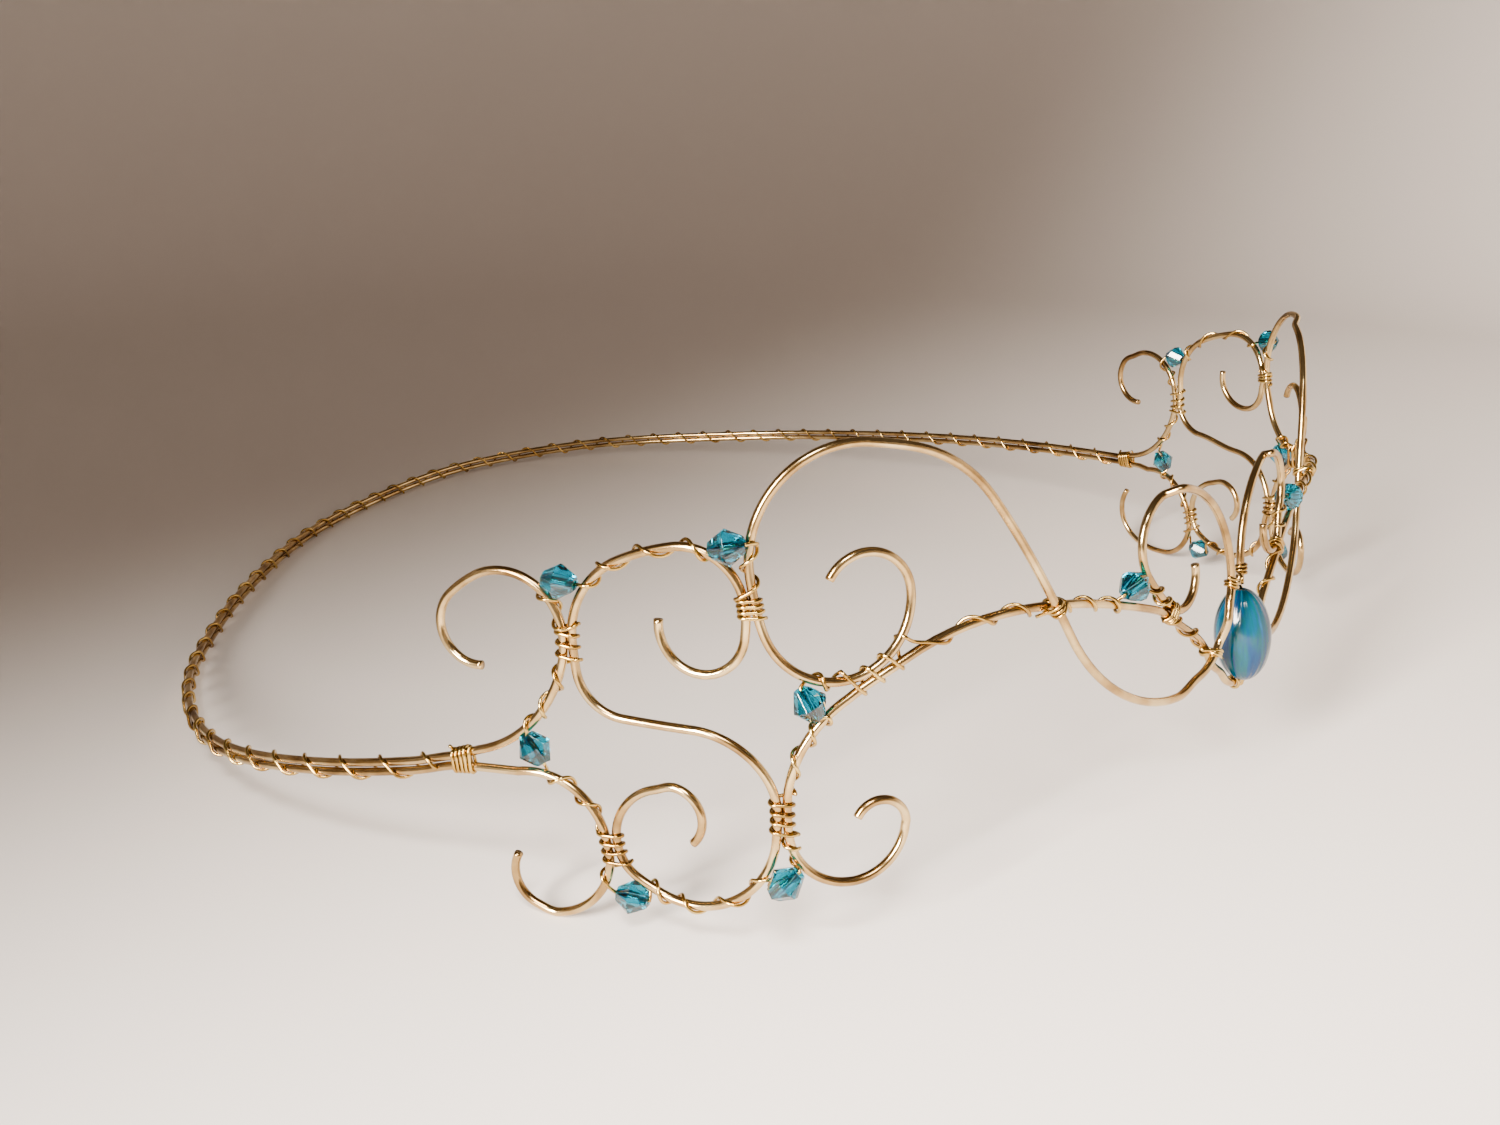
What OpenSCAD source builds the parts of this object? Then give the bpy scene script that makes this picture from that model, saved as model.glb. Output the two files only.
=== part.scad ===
// Wire crown: a head band of two brass wires that end in hooks, with a front of
// scrolls and crests lashed together with thin wire, faceted glass beads at the
// forks and one long glass bead at the centre of the brow.
// The crown stands as it rests by itself: on its two lower hooks and the back of its band.

/* [Wire] */
// Diameter of the brass frame wire
wire_d = 1.0; // [0.8:0.05:1.05]
// Diameter of the thin binding wire
thin_d = 0.4; // [0.3:0.05:0.4]
// Clearance between a binding and the wires that it holds
binding_fit = 0.06; // [0.05:0.01:0.08]
// Distance between the centres of two wires that lie side by side
strand_gap = 1.14; // [1.1:0.02:1.16]

/* [Head opening] */
// Half of the width of the crown at the temples, where the band wires are bound
temple_half_w = 78.5; // [78.5:0.5:80]
// How far the widest part of the band is from the middle
widest_half_w = 85; // [84.5:0.5:86]
// Depth of the brow in front of the temples
brow_depth = 53; // [52.5:0.5:53.5]
// Distance from the temples to the back of the band
back_depth = 138; // [136:0.5:140]
// Angle by which the wall of wires leans inwards
lean = 3; // [2.5:0.1:3.5]

/* [Glass] */
// Width of a faceted bead across its girdle
bicone_d = 3.8; // [3.4:0.1:3.8]
// Length of a faceted bead along its hole
bicone_l = 3.6; // [3.2:0.1:3.6]
// Width of the flat at each end of a faceted bead
bicone_flat_d = 1.7; // [1.5:0.1:1.8]
// Width of the long centre bead
centre_bead_d = 6.8; // [6.4:0.1:7]
// Length of the long centre bead
centre_bead_l = 12.0; // [10.5:0.1:12]
// Diameter of the holes through the beads
bead_hole_d = 0.8; // [0.7:0.05:1]

/* [Hidden] */

brass_colour = "#d9b98a";
glass_colour = "#1f93b5";
centre_colour = "#1c86ab";

// Sides of a frame wire, of a thin wire, and corners of one turn of thin wire
frame_sides = 8;
thin_sides = 5;
turn_sides = 8;
// Largest turn between two rings of a frame wire, in degrees
ring_step = 18;
// Longest straight stretch between two rings of a frame wire
ring_run = 20;
// Distance between two turns of a close binding
close_pitch = thin_d + 0.1;

// Half of the crown's outline on the head, from the brow's centre round to the back.
// Columns: half width, distance behind the temples
HEAD_OUTLINE = [
    [0, -brow_depth],
    [26, 2 - brow_depth],
    [48, 9.5 - brow_depth],
    [65.5, -31],
    [71, -18],
    [temple_half_w, 0],
    [widest_half_w - 0.5, 23],
    [widest_half_w, 48],
    [77.5, 75],
    [61, 101],
    [35, back_depth - 11],
    [0, back_depth]
];
// The left half of the brow stands a little farther forward, by this much at its corner
left_brow_forward = 2;
// The band is pulled to the left behind the head: by this much at the very back,
// and this share of it goes the other way first
back_skew = 18;
back_skew_return = 0.55;

// Height of the band's middle along its run from the right temple round the back
// to the left temple. Columns: distance from the brow's centre, height
BAND_SAG = [
    [105, 0], [112, -1.2], [125, -3], [150, -6], [175, -6.6], [198, -6.3],
    [215, -5], [235, -4], [255, -3], [280, -2], [305, -1], [345, -0.6], [400, -0.6], [470, 0]
];

// Routes of the wires in the wall that leans around the head, for each half, since the
// halves were bent by hand and differ a little. A row is a peg that the wire is bent around,
// in the order of its bends. Columns: distance along the wall from the brow's centre,
// height over the right temple binding, bend radius at the start and at the end, angle at
// the start and at the end (0 away from the brow, 90 upwards), distance in front of the wall
RIGHT_UPPER_HOOK = [
    [107.4, 15.2, 14.4, 15.9, 252, 190, 0],
    [98.3, 14.8, 6.8, 6.9, 174, 65, 0],
    [101.6, 15.4, 4.6, 4.2, 50, -92, 0]
];
LEFT_UPPER_HOOK = [
    [106.9, 15.1, 14.4, 15.5, 252, 190, 0],
    [98.8, 14.4, 7.1, 7.0, 174, 66, 0],
    [101.5, 16.0, 4.7, 4.1, 50, -92, 0]
];
RIGHT_LOWER_HOOK = [
    [97.0, -9.0, 8.5, 8.3, 80, 174, 0],
    [96.1, -9.2, 7.6, 7.8, 192, 265, 0],
    [96.2, -12.7, 3.9, 4.1, 295, 395, 0]
];
LEFT_LOWER_HOOK = [
    [98.0, -9.2, 8.4, 9.0, 80, 174, 0],
    [97.0, -8.9, 8.2, 7.8, 190, 264, 0],
    [100.6, -10.1, 6.2, 6.2, 292, 400, 0]
];
RIGHT_SCROLL = [
    [75.9, 16.2, 4.8, 4.6, 10, -170, 0],
    [77.6, 18.0, 6.5, 6.6, 176, 82, 0],
    [81.2, 14.4, 9.2, 9.3, 68, 2, 0],
    [84.8, 11.5, 5.6, 5.5, -3, -83, 0],
    [78.2, -3.4, 8.9, 8.8, 93, 172, 0],
    [78.9, -4.9, 9.2, 9.3, 188, 298, 0],
    [81.8, -8.0, 5.6, 6.5, 340, 440, 0],
    [80.9, -4.5, 3.5, 3.4, 458, 588, 0]
];
LEFT_SCROLL = [
    [75.5, 18.6, 4.8, 4.8, 14, -170, 0],
    [77.3, 19.0, 7.0, 7.4, 176, 83, 0],
    [81.1, 15.6, 9.8, 9.1, 66, 1, 0],
    [84.9, 12.9, 5.6, 5.1, -4, -83, 0],
    [78.1, -3.1, 9.1, 8.8, 94, 172, 0],
    [79.4, -4.2, 8.9, 9.3, 188, 298, 0],
    [82.1, -7.6, 5.7, 7.0, 340, 440, 0],
    [81.0, -3.9, 3.8, 3.5, 458, 588, 0]
];
RIGHT_BROW = [
    [58.9, -6.3, 2.8, 2.8, 30, 180, 0],
    [62.3, -5.6, 6.2, 6.2, 190, 350, 0],
    [54.8, -2.6, 13.6, 12.4, 4, 58, 0],
    [43.5, -15, 28.3, 28.3, 66, 90, 0],
    [23.9, -3.5, 12.1, 12, 111, 128, 0],
    [18, -7.7, 12, 12, 137, 153, 0],
    [0, -2.5, 4.8, 4.8, -35, -90, 0]
];
LEFT_BROW = [
    [58.9, -6.3, 2.8, 2.8, 30, 180, 0],
    [62.3, -5.6, 6.2, 6.2, 190, 350, 0],
    [54.8, -3.6, 13.6, 12.2, 4, 58, 0],
    [43.5, -17.4, 28.3, 28.3, 66, 90, 0],
    [23.9, -4.0, 12.1, 12, 111, 128, 0],
    [18, -7.9, 12, 12, 137, 153, 0],
    [0, -2.5, 4.8, 4.8, -35, -90, 0]
];
RIGHT_CREST = [
    [58.3, 17.9, 4.7, 4.6, 31, 178, 0],
    [61.8, 17.9, 8.1, 8.0, 190, 345, 0],
    [59.3, 22.0, 11.1, 11.5, -6, 100, 0],
    [57.2, 17.1, 15.9, 15.9, 108, 146, 0.6],
    [15.8, 18.5, 21.6, 21.6, -25, -84, 1.3],
    [12.7, 6.2, 8.5, 8.2, -92, -130, 1.1],
    [14.4, 5.9, 8.1, 8.1, -163, -172, 2.2],
    [18.4, 7.4, 13.7, 14.2, 179, 100, 1.8],
    [16.2, 15.2, 5.5, 5.6, 80, -36, 0],
    [14.0, 9.9, 3.6, 3.7, -55, -194, 0]
];
LEFT_CREST = [
    [58.4, 15.8, 4.3, 4.4, 29, 178, 0],
    [60.9, 17.3, 8.1, 7.7, 190, 345, 0],
    [58.3, 20.2, 11.0, 11.1, -6, 100, 0],
    [57.8, 15.4, 15.3, 15.6, 106, 147, -0.9],
    [17.4, 15.0, 21.8, 22.0, -28, -84, -1.5],
    [12.6, 3.0, 8.9, 8.7, -92, -128, -1.2],
    [12.8, 4.4, 8.4, 8.5, -160, -171, -1.4],
    [18.4, 6.4, 13.4, 12.6, 184, 106, -1.0],
    [14.6, 14.2, 4.6, 4.7, 88, -38, 0],
    [14.3, 9.5, 3.5, 3.5, -55, -194, 0]
];

// Faceted beads, on the right half and on the left half. Columns: distance along the wall,
// height, distance in front of the wall, angle of the hole (0 away from the brow, 90 upwards)
TEMPLE_BEAD = [[91.2, 20.7, 0.3, 8], [91.6, 21.2, 0.3, 8]];
FORK_BEAD = [[96.2, 2.1, 0, 60], [95.4, 1.4, 0, 60]];
HOOK_BEAD = [[86.3, -14.2, 0, 8], [86.6, -14.0, 0, 8]];
CURL_BEAD = [[69.2, -10.3, 1.5, 140], [69.2, -10.3, 1.5, 140]];
CREST_BEAD = [[72.3, 24.8, 1.2, -8], [71.0, 25.5, 1.5, -8]];
BROW_BEAD = [[65.4, 8.1, 0.3, 65], [65.3, 7.4, 0.3, 65]];
FRONT_BEAD = [[23.4, 11.6, 0, 165], [23.4, 10.9, 0, 165]];

// Bindings, on the right half and on the left half. Columns: distance along the wall,
// height, distance in front of the wall, direction of the binding's own axis, half the
// distance between the wires that it holds across the axis and through the wall, turns, pitch
BAND_BINDING = [
    [105.2, 0.1, 0, -6, 0.96, 0.06, 5, close_pitch],
    [105.2, 0.1, 0, -6, 1.02, 0.1, 5, close_pitch]
];
TEMPLE_BINDING = [
    [91.03, 14.3, 0, 90, 0.66, 0, 4.5, close_pitch],
    [91.05, 13.2, 0, 90, 0.72, 0, 4.5, close_pitch]
];
HOOK_BINDING = [
    [88.08, -8.6, 0, 82, 0.76, 0, 4, close_pitch],
    [88.55, -8.1, 0, 84, 0.8, 0, 4, close_pitch]
];
CURL_BINDING = [
    [68.95, -3.5, 0, 90, 0.7, 0, 5, close_pitch],
    [68.87, -2.2, 0, 96, 0.92, 0, 5, close_pitch]
];
CREST_BINDING = [
    [70.55, 18.3, 0, 87, 0.74, 0, 3.5, close_pitch],
    [69.83, 19.7, 0, 89, 0.74, 0, 3.5, close_pitch]
];
BROW_LASHING = [
    [57.85, 10.4, 0, -21, 1.25, 0.05, 3, 1.8],
    [57.9, 9.05, 0, -18, 1.42, 0.05, 3, 1.8]
];
CROSSING_KNOT = [
    [37.2, 12.55, 0.56, 36, 0.62, 0.72, 2, 0.6],
    [39.0, 10.65, -0.67, 37, 0.7, 0.8, 2, 0.6]
];
DIP_KNOT = [
    [8.2, -0.75, 0.56, 100, 0.84, 0.7, 2, 0.6],
    [6.7, -2.9, -0.6, 81, 0.8, 0.74, 2, 0.6]
];
LOOP_KNOT = [
    [16.7, 6.7, 0, 37, 0.7, 0, 2, 0.6],
    [16.4, 6.0, 0, 38, 0.8, 0, 2, 0.6]
];
BEAD_TIE = [
    [4.9, 7.2, 1.9, 108, 0.08, 0.12, 2.5, close_pitch],
    [5.15, 5.9, -1.1, 76, 0.08, 0.12, 2.5, close_pitch]
];

// Centre bead: height of its middle and distance in front of the wall
centre_bead_up = -0.95;
centre_bead_out = 1.0;

// Points of a curve through a closed list of stations, with parts per span
function span_point(p0, p1, p2, p3, t) =
    let (
        d0 = norm(p1 - p0),
        d1 = norm(p2 - p1),
        d2 = norm(p3 - p2),
        m1 = ((p1 - p0) / d0 * d1 + (p2 - p1) / d1 * d0) / (d0 + d1) * d1,
        m2 = ((p2 - p1) / d1 * d2 + (p3 - p2) / d2 * d1) / (d1 + d2) * d1
    )
    hermite(p1, m1, p2, m2, t);
function hermite(p, m, q, n, t) =
    (2 * t^3 - 3 * t^2 + 1) * p + (t^3 - 2 * t^2 + t) * m
    + (3 * t^2 - 2 * t^3) * q + (t^3 - t^2) * n;
function closed_curve(p, parts) =
    let (n = len(p))
    [for (i = [0:n - 1], k = [0:parts - 1])
        span_point(p[(i + n - 1) % n], p[i], p[(i + 1) % n], p[(i + 2) % n], k / parts)];

// The outline goes from the brow's centre to the right temple, the back and the left
span_parts = 12;
last_row = len(HEAD_OUTLINE) - 1;
brow_corner = 2;
outline_stations = concat(
    [for (r = HEAD_OUTLINE) [-r[0], r[1]]],
    [for (i = [last_row - 1:-1:1])
        HEAD_OUTLINE[i] - [0, i == brow_corner ? left_brow_forward : 0]]
);
function pulled(p) =
    let (w = max(p[1], 0) / back_depth)
    p + [back_skew * ((1 + back_skew_return) * w^2 - back_skew_return * w), 0];
outline_open = [for (p = closed_curve(outline_stations, span_parts)) pulled(p)];
outline = concat(outline_open, [outline_open[0]]);
outline_n = len(outline);
outline_run = [for (i = 0, s = 0; i < outline_n;
    s = s + norm(outline[min(i + 1, outline_n - 1)] - outline[i]), i = i + 1) s];
loop_l = outline_run[outline_n - 1];
function outline_heading(i) =
    let (
        before = outline[i == 0 ? outline_n - 2 : i - 1],
        after = outline[i == outline_n - 1 ? 1 : i + 1]
    )
    (after - before) / norm(after - before);
x_run = [for (i = [0:outline_n - 1]) [outline_run[i], outline[i][0]]];
y_run = [for (i = [0:outline_n - 1]) [outline_run[i], outline[i][1]]];
heading_x_run = [for (i = [0:outline_n - 1]) [outline_run[i], outline_heading(i)[0]]];
heading_y_run = [for (i = [0:outline_n - 1]) [outline_run[i], outline_heading(i)[1]]];

// Outward direction of the wall, and a point of the wall in space
function wall_out(along) =
    let (
        s = (along + loop_l) % loop_l,
        h = [lookup(s, heading_x_run), lookup(s, heading_y_run)]
    )
    [-h[1], h[0], 0] / norm(h);
function wall_point(w) =
    let (s = (w[0] + loop_l) % loop_l)
    [lookup(s, x_run), lookup(s, y_run), w[1]] + wall_out(s) * (w[2] - w[1] * tan(lean));

// Side of the crown: 1 is the wearer's right, -1 the wearer's left
function on_side(w, side) = [side > 0 ? w[0] : loop_l - w[0], w[1], w[2]];
function half(table, side) = side > 0 ? table[0] : table[1];
function peg_steps(peg) = max(2, ceil(abs(peg[5] - peg[4]) / ring_step));
function peg_point(peg, t) =
    let (
        a = peg[4] + (peg[5] - peg[4]) * t,
        r = peg[2] + (peg[3] - peg[2]) * t
    )
    [peg[0] + r * cos(a), peg[1] + r * sin(a), peg[6]];
function peg_arc(peg) =
    let (n = peg_steps(peg))
    [for (i = [0:n]) peg_point(peg, i / n)];
function peg_heading(peg, a) = sign(peg[5] - peg[4]) * [-sin(a), cos(a), 0];
function flat_part(v) = [v[0], v[1], 0];
// The wire's easy curve from one peg to the next
function bridge(peg, next) =
    let (
        p = peg_point(peg, 1),
        q = peg_point(next, 0),
        d = norm(flat_part(q - p)),
        h = peg_heading(peg, peg[5]),
        g = peg_heading(next, next[4]),
        n = ceil(max(acos(min(1, h * g)) / ring_step, d / ring_run))
    )
    [for (i = [1:1:n - 1])
        let (t = i / n, v = hermite(flat_part(p), h * d, flat_part(q), g * d, t))
        [v[0], v[1], p[2] + (q[2] - p[2]) * (3 * t^2 - 2 * t^3)]];
function route(pegs) =
    [for (i = [0:len(pegs) - 1])
        each concat(i == 0 ? [] : bridge(pegs[i - 1], pegs[i]), peg_arc(pegs[i]))];
function side_route(pegs, side) = [for (w = route(pegs)) on_side(w, side)];
function reversed(list) = [for (i = [len(list) - 1:-1:0]) list[i]];

// Run of a band wire, from the tip of its right hook to the tip of its left one
band_rings = 48;
function sag(s) =
    let (
        n = len(BAND_SAG),
        i = max([for (k = [0:n - 2]) BAND_SAG[k][0] <= s ? k : 0]),
        p = BAND_SAG[i],
        q = BAND_SAG[i + 1],
        t = min(1, max(0, (s - p[0]) / (q[0] - p[0]))),
        m = sag_slope(i) * (q[0] - p[0]),
        k = sag_slope(i + 1) * (q[0] - p[0])
    )
    hermite(p[1], m, q[1], k, t);
function sag_slope(i) =
    i == 0 || i == len(BAND_SAG) - 1 ? 0
    : (BAND_SAG[i + 1][1] - BAND_SAG[i - 1][1]) / (BAND_SAG[i + 1][0] - BAND_SAG[i - 1][0]);
function band_run(first, offset) =
    [for (i = [0:band_rings])
        let (s = first + (loop_l - 2 * first) * i / band_rings)
        [s, sag(s) + offset, 0]];
// The hooks leave the band where they start to bend
upper_leave = 106.6;
lower_leave = 101.6;
function band_wire(right_hook, left_hook, leave, offset) = concat(
    reversed(side_route(right_hook, 1)),
    band_run(leave, offset),
    side_route(left_hook, -1)
);

// Resting pose: pitched back until the lower hooks and the back of the band both touch
upper_band_route = band_wire(RIGHT_UPPER_HOOK, LEFT_UPPER_HOOK, upper_leave, strand_gap / 2);
lower_band_route = band_wire(RIGHT_LOWER_HOOK, LEFT_LOWER_HOOK, lower_leave, -strand_gap / 2);
hook_route = side_route(RIGHT_LOWER_HOOK, 1);
hook_low_up = min([for (w = hook_route) w[1]]);
hook_low = [for (w = hook_route) if (w[1] == hook_low_up) wall_point(w)][0];
back_low = wall_point([loop_l / 2, sag(loop_l / 2) - strand_gap / 2, 0]);
// The wraps of thin wire around the band keep it a little off the table
back_clear = thin_d;
contact_run = back_low[1] - hook_low[1];
contact_rise = back_low[2] - hook_low[2];
contact_far = norm([contact_run, contact_rise]);
rest_pitch = atan2(contact_rise, contact_run) - asin(back_clear / contact_far);

function pitched(p) = [
    p[0],
    p[1] * cos(rest_pitch) + p[2] * sin(rest_pitch),
    p[2] * cos(rest_pitch) - p[1] * sin(rest_pitch)
];
outer_points = [for (w = concat(upper_band_route, lower_band_route)) pitched(wall_point(w))];
x_low = min([for (p = outer_points) p[0]]) - wire_d / 2;
x_high = max([for (p = outer_points) p[0]]) + wire_d / 2;
y_high = max([for (p = outer_points) p[1]]) + wire_d / 2;
z_low = min([for (p = outer_points) p[2]]) - wire_d / 2;
bead_middle = pitched(wall_point([0, centre_bead_up, centre_bead_out]));
bead_tilt = lean + rest_pitch;
bead_reach = norm([centre_bead_d / 2 * cos(bead_tilt), centre_bead_l / 2 * sin(bead_tilt)]);
y_low = bead_middle[1] - bead_reach;

module at_rest() {
    translate([-(x_low + x_high) / 2, -(y_low + y_high) / 2, -z_low])
    rotate([-rest_pitch, 0, 0])
    children();
}

// A wire: a tube of triangles swept along points, with a guide direction at each ring
function unit(v) = v / norm(v);
function run_heading(p, i) =
    let (n = len(p) - 1)
    i == 0 ? unit(p[1] - p[0])
    : i == n ? unit(p[n] - p[n - 1])
    : unit(unit(p[i] - p[i - 1]) + unit(p[i + 1] - p[i]));
function ring(centre, heading, guide, d, sides) =
    let (
        u = unit(guide - (guide * heading) * heading),
        v = cross(heading, u)
    )
    [for (k = [0:sides - 1])
        centre + d / 2 * (cos(360 * k / sides) * u + sin(360 * k / sides) * v)];
module wire(points, guides, d, sides) {
    n = len(points);
    corners = [for (i = [0:n - 1])
        each ring(points[i], run_heading(points, i), guides[i], d, sides)];
    walls = [for (i = [0:n - 2], k = [0:sides - 1])
        let (
            a = i * sides + k,
            b = i * sides + (k + 1) % sides
        )
        each [[a, a + sides, b + sides], [a, b + sides, b]]];
    last = (n - 1) * sides;
    ends = [for (k = [1:sides - 2]) each [[0, k, k + 1], [last, last + k + 1, last + k]]];
    polyhedron(points = corners, faces = concat(walls, ends), convexity = 10);
}
module frame_wire(run) {
    color(brass_colour)
    at_rest()
    wire([for (w = run) wall_point(w)], [for (w = run) wall_out(w[0])], wire_d, frame_sides);
}

// A binding: thin wire wound as a rounded rectangle around the wires that it holds
turn_r = (wire_d / 2 + thin_d / 2 + binding_fit) / cos(180 / turn_sides);
function signed(v, half) = v > 0 ? half : -half;
function binding_axis(b, i) =
    let (t = (i / turn_sides - b[6] / 2) * b[7])
    [b[0] + t * cos(b[3]), b[1] + t * sin(b[3]), b[2]];
function binding_point(b, i) =
    let (
        a = 360 * (i + 0.5) / turn_sides,
        across = signed(cos(a), b[4]) + turn_r * cos(a),
        through = signed(sin(a), b[5]) + turn_r * sin(a)
    )
    binding_axis(b, i) + [-across * sin(b[3]), across * cos(b[3]), through];
module binding(table, side) {
    b = half(table, side);
    count = round(b[6] * turn_sides);
    points = [for (i = [0:count]) wall_point(on_side(binding_point(b, i), side))];
    axis = [for (i = [0:count]) wall_point(on_side(binding_axis(b, i), side))];
    color(brass_colour)
    at_rest()
    wire(points, points - axis, thin_d, thin_sides);
}

// A faceted bead: six tall facets and six small ones on each half, flat ends, drilled
module bicone() {
    flat_r = bicone_flat_d / 2;
    top = [for (k = [0:5]) [flat_r * cos(60 * k), flat_r * sin(60 * k), bicone_l / 2]];
    girdle = [for (k = [0:11])
        [bicone_d / 2 * cos(30 * k + 15), bicone_d / 2 * sin(30 * k + 15), 0]];
    foot = [for (k = [0:5])
        [flat_r * cos(60 * k + 30), flat_r * sin(60 * k + 30), -bicone_l / 2]];
    upper = [for (k = [0:5])
        each [
            [k, (k + 1) % 6, 6 + (2 * k + 1) % 12, 6 + 2 * k],
            [k, 6 + 2 * k, 6 + (2 * k + 11) % 12]
        ]];
    lower = [for (k = [0:5])
        each [
            [18 + k, 6 + (2 * k + 1) % 12, 6 + (2 * k + 2) % 12, 18 + (k + 1) % 6],
            [18 + k, 6 + 2 * k, 6 + (2 * k + 1) % 12]
        ]];
    difference() {
        polyhedron(
            points = concat(top, girdle, foot),
            faces = concat(upper, lower, [[5, 4, 3, 2, 1, 0]], [[18, 19, 20, 21, 22, 23]]),
            convexity = 2
        );
        cylinder(h = 2 * bicone_l, d = bead_hole_d, center = true, $fn = 32);
    }
}
module faceted_bead(table, side) {
    b = half(table, side);
    reach = bicone_l / 2;
    step = reach * [cos(b[3]), sin(b[3]), 0];
    middle = [b[0], b[1], b[2]];
    low = wall_point(on_side(middle - step, side));
    high = wall_point(on_side(middle + step, side));
    hole = unit(high - low);
    color(glass_colour)
    at_rest()
    translate((low + high) / 2)
    rotate([0, acos(hole[2]), atan2(hole[1], hole[0])])
    bicone();
}

module centre_bead() {
    parts = 14;
    end_angle = acos(bead_hole_d / centre_bead_d);
    profile = [for (i = [0:parts])
        let (a = end_angle * (2 * i / parts - 1))
        [centre_bead_d / 2 * cos(a), centre_bead_l / 2 * sin(a)]];
    color(centre_colour)
    at_rest()
    translate(wall_point([0, centre_bead_up, centre_bead_out]))
    rotate([-lean, 0, 0])
    rotate_extrude($fn = 48)
    polygon(profile);
}
module centre_bead_wire() {
    over = 1.2;
    reach = centre_bead_l / 2 + over;
    color(brass_colour)
    at_rest()
    translate(wall_point([0, centre_bead_up, centre_bead_out]))
    rotate([-lean, 0, 0])
    cylinder(h = 2 * reach, d = thin_d, center = true, $fn = 24);
}

module upper_band_wire() { frame_wire(upper_band_route); }
module lower_band_wire() { frame_wire(lower_band_route); }
module brow_wire() {
    right = side_route(RIGHT_BROW, 1);
    left = side_route(LEFT_BROW, -1);
    inner = [for (i = [len(left) - 2:-1:0]) left[i]];
    frame_wire(concat([for (w = right) [w[0] + loop_l, w[1], w[2]]], inner));
}

upper_band_wire();
lower_band_wire();
brow_wire();
frame_wire(side_route(RIGHT_SCROLL, 1));  // right_scroll_wire
frame_wire(side_route(LEFT_SCROLL, -1));  // left_scroll_wire
frame_wire(side_route(RIGHT_CREST, 1));  // right_crest_wire
frame_wire(side_route(LEFT_CREST, -1));  // left_crest_wire
centre_bead();
centre_bead_wire();
faceted_bead(TEMPLE_BEAD, 1);  // right_temple_bead
faceted_bead(TEMPLE_BEAD, -1);  // left_temple_bead
faceted_bead(FORK_BEAD, 1);  // right_fork_bead
faceted_bead(FORK_BEAD, -1);  // left_fork_bead
faceted_bead(HOOK_BEAD, 1);  // right_hook_bead
faceted_bead(HOOK_BEAD, -1);  // left_hook_bead
faceted_bead(CURL_BEAD, 1);  // right_curl_bead
faceted_bead(CURL_BEAD, -1);  // left_curl_bead
faceted_bead(CREST_BEAD, 1);  // right_crest_bead
faceted_bead(CREST_BEAD, -1);  // left_crest_bead
faceted_bead(BROW_BEAD, 1);  // right_brow_bead
faceted_bead(BROW_BEAD, -1);  // left_brow_bead
faceted_bead(FRONT_BEAD, 1);  // right_front_bead
faceted_bead(FRONT_BEAD, -1);  // left_front_bead
binding(BAND_BINDING, 1);  // right_band_binding
binding(BAND_BINDING, -1);  // left_band_binding
binding(TEMPLE_BINDING, 1);  // right_temple_binding
binding(TEMPLE_BINDING, -1);  // left_temple_binding
binding(HOOK_BINDING, 1);  // right_hook_binding
binding(HOOK_BINDING, -1);  // left_hook_binding
binding(CURL_BINDING, 1);  // right_curl_binding
binding(CURL_BINDING, -1);  // left_curl_binding
binding(CREST_BINDING, 1);  // right_crest_binding
binding(CREST_BINDING, -1);  // left_crest_binding
binding(BROW_LASHING, 1);  // right_brow_lashing
binding(BROW_LASHING, -1);  // left_brow_lashing
binding(CROSSING_KNOT, 1);  // right_crossing_knot
binding(CROSSING_KNOT, -1);  // left_crossing_knot
binding(DIP_KNOT, 1);  // right_dip_knot
binding(DIP_KNOT, -1);  // left_dip_knot
binding(LOOP_KNOT, 1);  // right_loop_knot
binding(LOOP_KNOT, -1);  // left_loop_knot
binding(BEAD_TIE, 1);  // right_bead_tie
binding(BEAD_TIE, -1);  // left_bead_tie
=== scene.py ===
"""Wire crown: drawn brass wire, thin lashings, cut glass beads and one long lustre bead."""
import math
import random

import bmesh
import bpy
import numpy as np
from mathutils import Matrix, Vector
from mathutils.kdtree import KDTree


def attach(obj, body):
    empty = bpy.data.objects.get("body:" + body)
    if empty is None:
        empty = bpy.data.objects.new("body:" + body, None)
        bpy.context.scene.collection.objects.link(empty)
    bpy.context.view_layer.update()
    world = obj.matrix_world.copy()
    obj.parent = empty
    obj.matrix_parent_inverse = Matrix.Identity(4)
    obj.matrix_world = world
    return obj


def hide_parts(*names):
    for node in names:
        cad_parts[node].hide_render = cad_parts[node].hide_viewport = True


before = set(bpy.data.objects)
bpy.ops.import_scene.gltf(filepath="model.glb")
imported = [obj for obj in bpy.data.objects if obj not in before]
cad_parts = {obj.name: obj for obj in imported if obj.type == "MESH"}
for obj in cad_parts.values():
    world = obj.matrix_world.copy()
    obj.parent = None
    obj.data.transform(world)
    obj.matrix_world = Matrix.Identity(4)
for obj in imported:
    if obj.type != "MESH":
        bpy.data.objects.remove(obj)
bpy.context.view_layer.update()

# Sizes are in millimetres until a piece is made
MM = 0.001
WIRE_D = 1.0
THIN_D = 0.4
# Room between a binding and the wires that it holds
BINDING_FIT = 0.06
# Distance between the middles of the two band wires
STRAND_GAP = 1.14
# The wall leans inwards, towards its top, by this angle
LEAN = math.radians(3)
BICONE_L = 3.6
BICONE_D = 3.8
BICONE_FLAT_D = 1.7
CENTRE_BEAD_D = 6.8
CENTRE_BEAD_L = 12.0
CENTRE_BEAD_HOLE_D = 0.8

# Half of the outline on the head. Columns: half width, distance behind the temples
HEAD_OUTLINE = [
    (0, -53), (26, -51), (48, -43.5), (65.5, -31), (71, -18), (78.5, 0),
    (84.5, 23), (85, 48), (77.5, 75), (61, 101), (35, 127), (0, 138),
]
# Station of the outline at the brow's corner, where the left half stands this much forward
BROW_CORNER = 2
LEFT_BROW_FORWARD = 2
BACK_DEPTH = 138
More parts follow.
